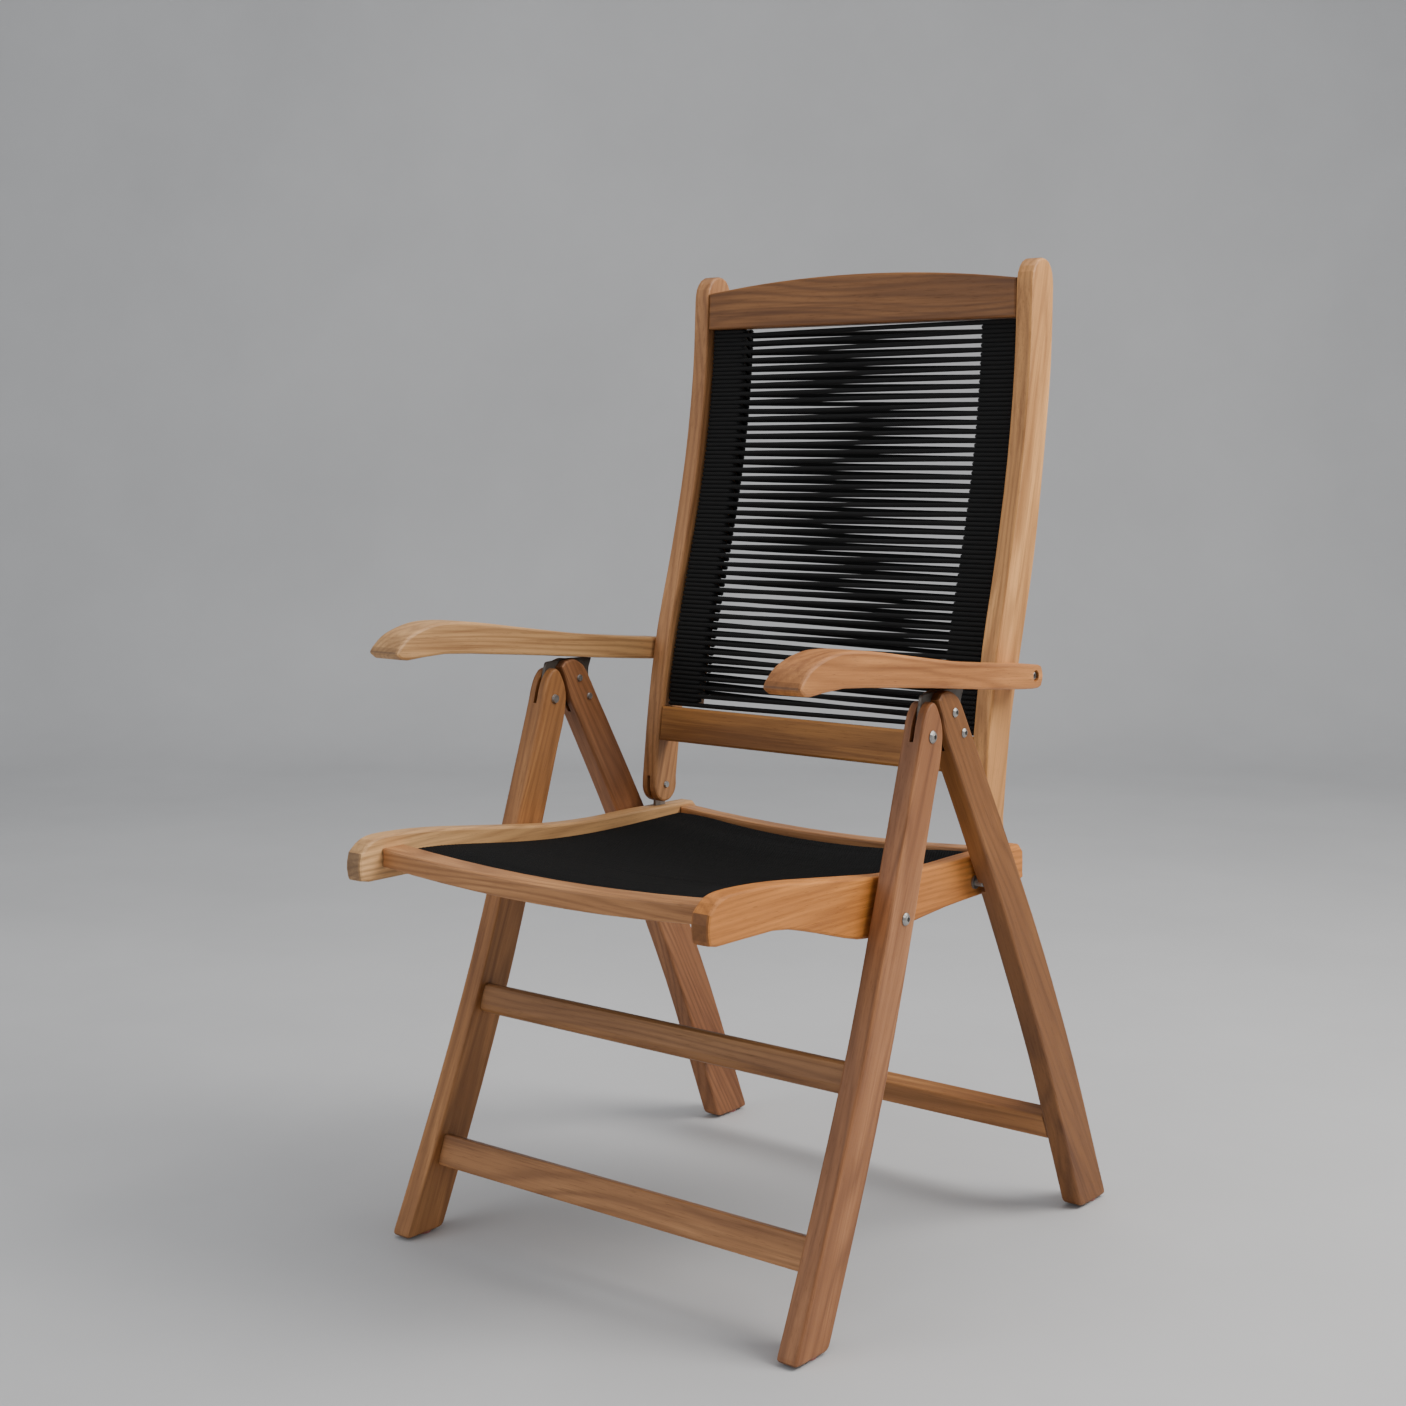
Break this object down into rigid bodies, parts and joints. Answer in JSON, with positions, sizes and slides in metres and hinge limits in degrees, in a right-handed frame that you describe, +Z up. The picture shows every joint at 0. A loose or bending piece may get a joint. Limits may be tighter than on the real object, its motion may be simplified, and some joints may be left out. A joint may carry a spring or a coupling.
{
  "type": "folding armchair",
  "caption": "Folding wooden armchair with a high rope back and a rope seat; the legs, seat, back and arms fold flat together.",
  "frame": {"origin": "on the floor, under the middle of the open chair's bounding box", "axes": "+X to the chair's left-hand side as seen from the front, +Y towards the back, +Z up; the seat faces -Y"},
  "size_m": [0.597, 0.715, 1.1053],
  "materials": {
    "leg_wood": "oiled",
    "bar_wood": "oiled",
    "black_rope": "braided",
    "seat_wood": "oiled",
    "back_wood": "oiled",
    "arm_wood": "oiled",
    "glide_plastic": "matt",
    "dark_steel": "darkened",
    "bright_steel": "brushed"
  },
  "bodies": {
    "front_frame": {"front_leg_right": "leg_wood", "front_leg_left": "leg_wood", "leg_pivot_bolt_right": "bright_steel", "leg_pivot_bolt_left": "bright_steel", "seat_pivot_bolt_right": "bright_steel", "seat_pivot_bolt_left": "bright_steel", "seat_pivot_washer_right": "bright_steel", "seat_pivot_washer_left": "bright_steel", "front_foot_glide_right": "glide_plastic", "front_foot_glide_left": "glide_plastic", "front_stretcher_lower": "leg_wood", "front_stretcher_upper": "leg_wood"},
    "rear_frame": {"rear_leg_right": "leg_wood", "rear_leg_left": "leg_wood", "hinge_plate_right": "dark_steel", "hinge_plate_left": "dark_steel", "plate_screw_upper_right": "bright_steel", "plate_screw_upper_left": "bright_steel", "plate_screw_lower_right": "bright_steel", "plate_screw_lower_left": "bright_steel", "rear_foot_glide_right": "glide_plastic", "rear_foot_glide_left": "glide_plastic", "rear_stretcher": "leg_wood"},
    "seat_frame": {"seat_side_rail_right": "seat_wood", "seat_side_rail_left": "seat_wood", "seat_rope_bar_right": "bar_wood", "seat_rope_bar_left": "bar_wood", "slide_pin_right": "bright_steel", "slide_pin_left": "bright_steel", "back_hinge_tab_right": "bright_steel", "back_hinge_tab_left": "bright_steel", "seat_front_rail": "seat_wood", "seat_rear_rail": "seat_wood", "seat_rope_panel": "black_rope"},
    "backrest": {"back_hinge_bolt_right": "bright_steel", "back_hinge_bolt_left": "bright_steel", "back_stile_right": "back_wood", "back_stile_left": "back_wood", "back_rope_bar_right": "bar_wood", "back_rope_bar_left": "bar_wood", "back_top_rail": "back_wood", "back_bottom_rail": "back_wood", "back_rope_panel": "black_rope"},
    "arms": {"arm_pivot_bolt_right": "bright_steel", "arm_pivot_bolt_left": "bright_steel", "armrest_right": "arm_wood", "armrest_left": "arm_wood", "arm_notch_strip_right": "dark_steel", "arm_notch_strip_left": "dark_steel"}
  },
  "joints": [
    {"name": "fold", "type": "hinge", "parent": "front_frame", "child": "rear_frame", "pos_m": [0, -0.0195, 0.583], "axis": [-1, 0, 0], "range_deg": [0, 45]},
    {"name": "seat_fold", "type": "hinge", "parent": "front_frame", "child": "seat_frame", "pos_m": [0, -0.0706, 0.4014], "axis": [-1, 0, 0], "range_deg": [0, 91]},
    {"name": "back_fold", "type": "hinge", "parent": "seat_frame", "child": "backrest", "pos_m": [0, 0.1561, 0.4613], "axis": [1, 0, 0], "range_deg": [0, 88.5]},
    {"name": "arm_fold", "type": "hinge", "parent": "backrest", "child": "arms", "pos_m": [0, 0.1841, 0.6301], "axis": [-1, 0, 0], "range_deg": [0, 111]}
  ],
  "couplings": [
    {"joint": "seat_fold", "follows": "fold", "ratio": 2},
    {"joint": "back_fold", "follows": "fold", "ratio": 1.95},
    {"joint": "arm_fold", "follows": "fold", "ratio": 2.45}
  ]
}
